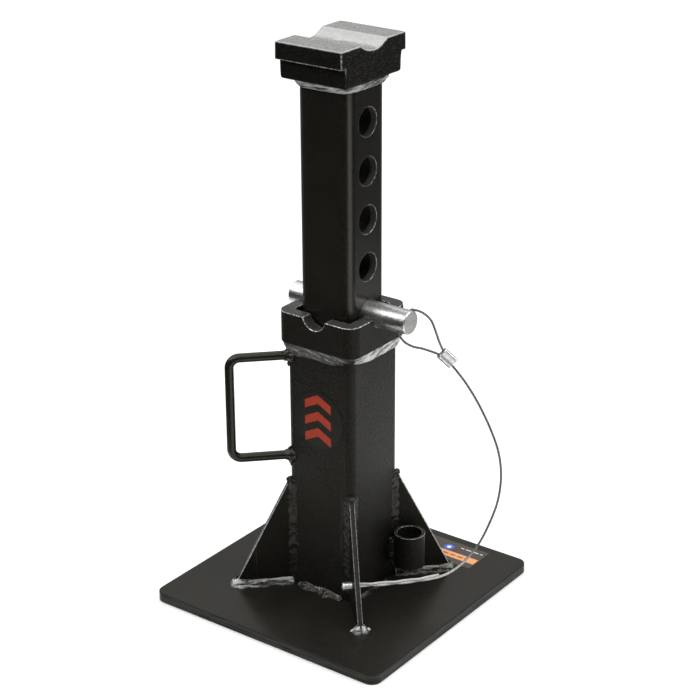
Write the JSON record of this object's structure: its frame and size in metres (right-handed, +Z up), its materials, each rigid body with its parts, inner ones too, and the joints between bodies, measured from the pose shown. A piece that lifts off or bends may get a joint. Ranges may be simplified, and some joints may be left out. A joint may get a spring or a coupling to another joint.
{
  "type": "pin-type axle jack stand",
  "caption": "Welded steel axle stand: square base with diagonal gussets, telescoping column with cross holes, grooved saddle, load pin on a wire lanyard and a side carry handle.",
  "frame": {"origin": "centre of the base plate's underside, on the floor", "axes": "+Z up along the column, +X along the support pin towards its lanyard end, +Y square to the pin"},
  "size_m": [0.3241, 0.3, 0.627],
  "materials": {
    "black_paint": "warm black semi-gloss enamel",
    "painted_weld": "black enamel over rippled weld beads",
    "cast_paint": "black enamel over a grainy casting",
    "zinc_plate": "bright zinc plate with handling marks",
    "ferrule_metal": "bright crimped sleeve",
    "wire_rope": "stranded wire rope",
    "decal": "printed vinyl, red chevrons on black",
    "label": "printed vinyl, plain orange band and blue dot"
  },
  "bodies": {
    "base": {"base_plate": "black_paint", "outer_column": "black_paint", "top_collar": "black_paint", "gusset_front": "black_paint", "gusset_left": "black_paint", "gusset_right": "black_paint", "gusset_rear": "black_paint", "carry_handle": "black_paint", "pin_socket": "black_paint", "weld_collar": "painted_weld", "weld_column_base": "painted_weld", "weld_gusset_feet": "painted_weld", "weld_gusset_column": "painted_weld", "weld_handle": "painted_weld", "weld_socket": "painted_weld", "round_decal": "decal", "safety_label": "label", "stop_ferrule": "ferrule_metal", "lanyard_tail": "wire_rope", "lanyard_cable": "wire_rope"},
    "column": {"inner_column": "black_paint", "saddle": "cast_paint", "weld_saddle": "painted_weld"},
    "pin": {"support_pin": "zinc_plate", "lanyard_loop": "wire_rope", "loop_ferrule": "ferrule_metal"}
  },
  "joints": [
    {"name": "column_lift", "type": "slide", "parent": "base", "child": "column", "axis": [0, 0, 1], "range_m": [0, 0.08], "deforming": ["lanyard_cable"]},
    {"name": "pin_draw", "type": "slide", "parent": "column", "child": "pin", "axis": [1, 0, 0], "range_m": [0, 0.125], "deforming": ["lanyard_cable"]}
  ]
}
